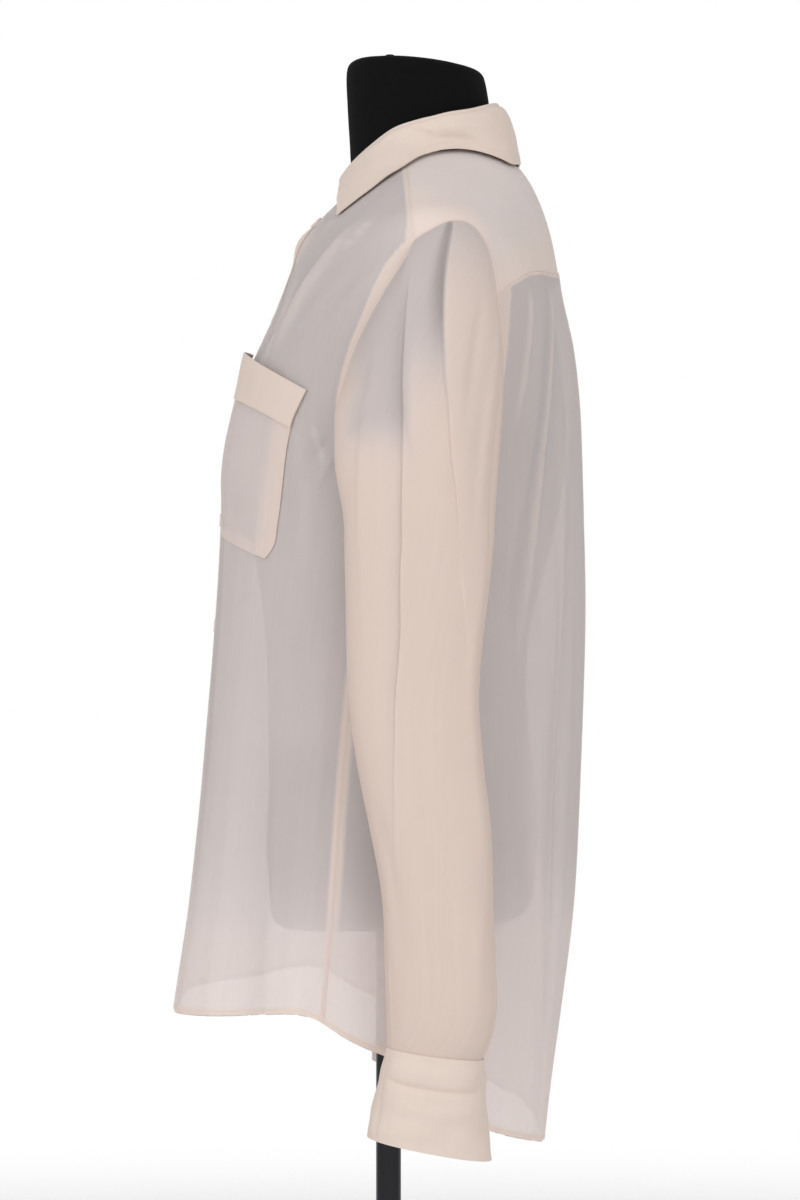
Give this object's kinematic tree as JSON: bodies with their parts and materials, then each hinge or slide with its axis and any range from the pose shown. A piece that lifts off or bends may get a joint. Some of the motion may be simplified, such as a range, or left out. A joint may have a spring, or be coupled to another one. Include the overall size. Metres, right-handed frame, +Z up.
{
  "type": "silk blouse on a dress form",
  "caption": "Sheer long-sleeved shirt blouse with fold-down collar, yoke, breast pocket, cuffs and a long back hem, worn by a limbless dress form on a round-based stand.",
  "frame": {"origin": "on the floor at the centre of the stand's base, on the pole's axis", "axes": "+Z up along the pole; the chest faces -Y; the wearer's left side is +X"},
  "size_m": [0.5144, 0.3124, 1.27],
  "materials": {
    "silk": "sheer cream silk, satin sheen",
    "double_silk": "double and interfaced cream silk, nearly opaque",
    "pearl": "small pearly cream buttons",
    "black_jersey": "matt black jersey cover",
    "black_metal": "glossy black"
  },
  "bodies": {
    "root": {"front_left": "silk", "front_right": "silk", "back": "silk", "yoke": "double_silk", "placket": "double_silk", "collar_stand": "double_silk", "collar_leaf": "double_silk", "pocket": "silk", "pocket_band": "double_silk", "sleeve_left": "silk", "sleeve_right": "silk", "cuff_left": "double_silk", "cuff_right": "double_silk", "button_1": "pearl", "button_2": "pearl", "button_3": "pearl", "button_4": "pearl", "button_5": "pearl", "button_6": "pearl", "button_7": "pearl", "cuff_button_left": "pearl", "cuff_button_right": "pearl", "dress_form": "black_jersey", "stand_pole": "black_metal", "stand_base": "black_metal"}
  },
  "joints": []
}
